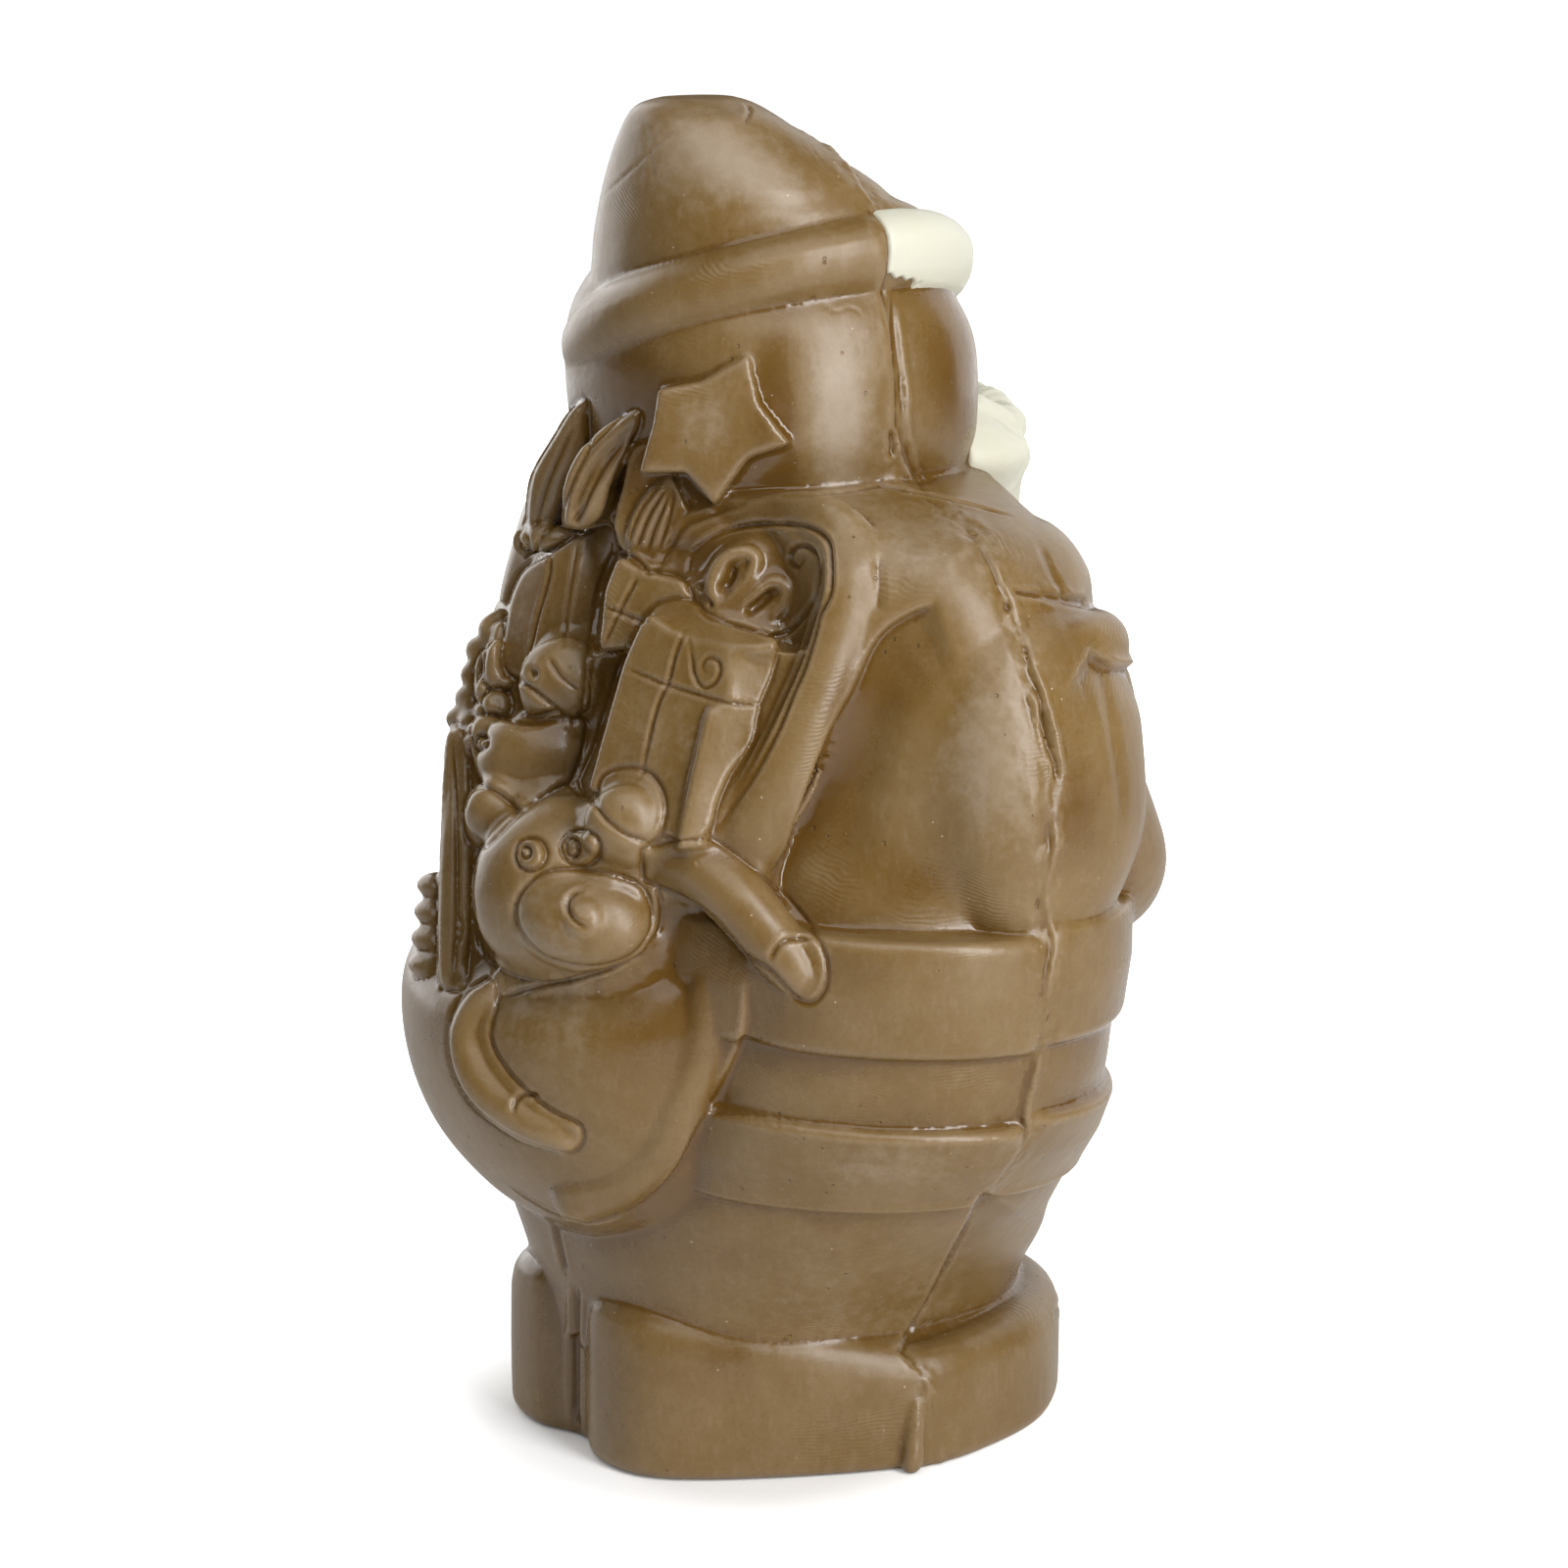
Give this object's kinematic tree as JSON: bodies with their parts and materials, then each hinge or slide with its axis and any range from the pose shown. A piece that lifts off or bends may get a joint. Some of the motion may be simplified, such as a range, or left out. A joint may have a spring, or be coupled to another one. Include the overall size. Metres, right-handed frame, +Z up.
{
  "type": "chocolate santa claus",
  "caption": "Standing moulded chocolate Santa Claus figure with a sack of toys on his back, a teddy bear leaning out, and white chocolate beard and hat fur.",
  "frame": {"origin": "middle of the flat underside of the boots, on the mould's parting plane", "axes": "+Z up, +Y towards the back with the sack, -X towards the figure's own right hand side"},
  "size_m": [0.127, 0.1047, 0.19],
  "materials": {
    "milk_chocolate": "satin milk chocolate, glossier in the creases",
    "white_chocolate": "smooth creamy white chocolate, soft sheen"
  },
  "bodies": {
    "root": {"milk_chocolate_figure": "milk_chocolate", "white_hat_fur": "white_chocolate", "white_beard": "white_chocolate"}
  },
  "joints": []
}
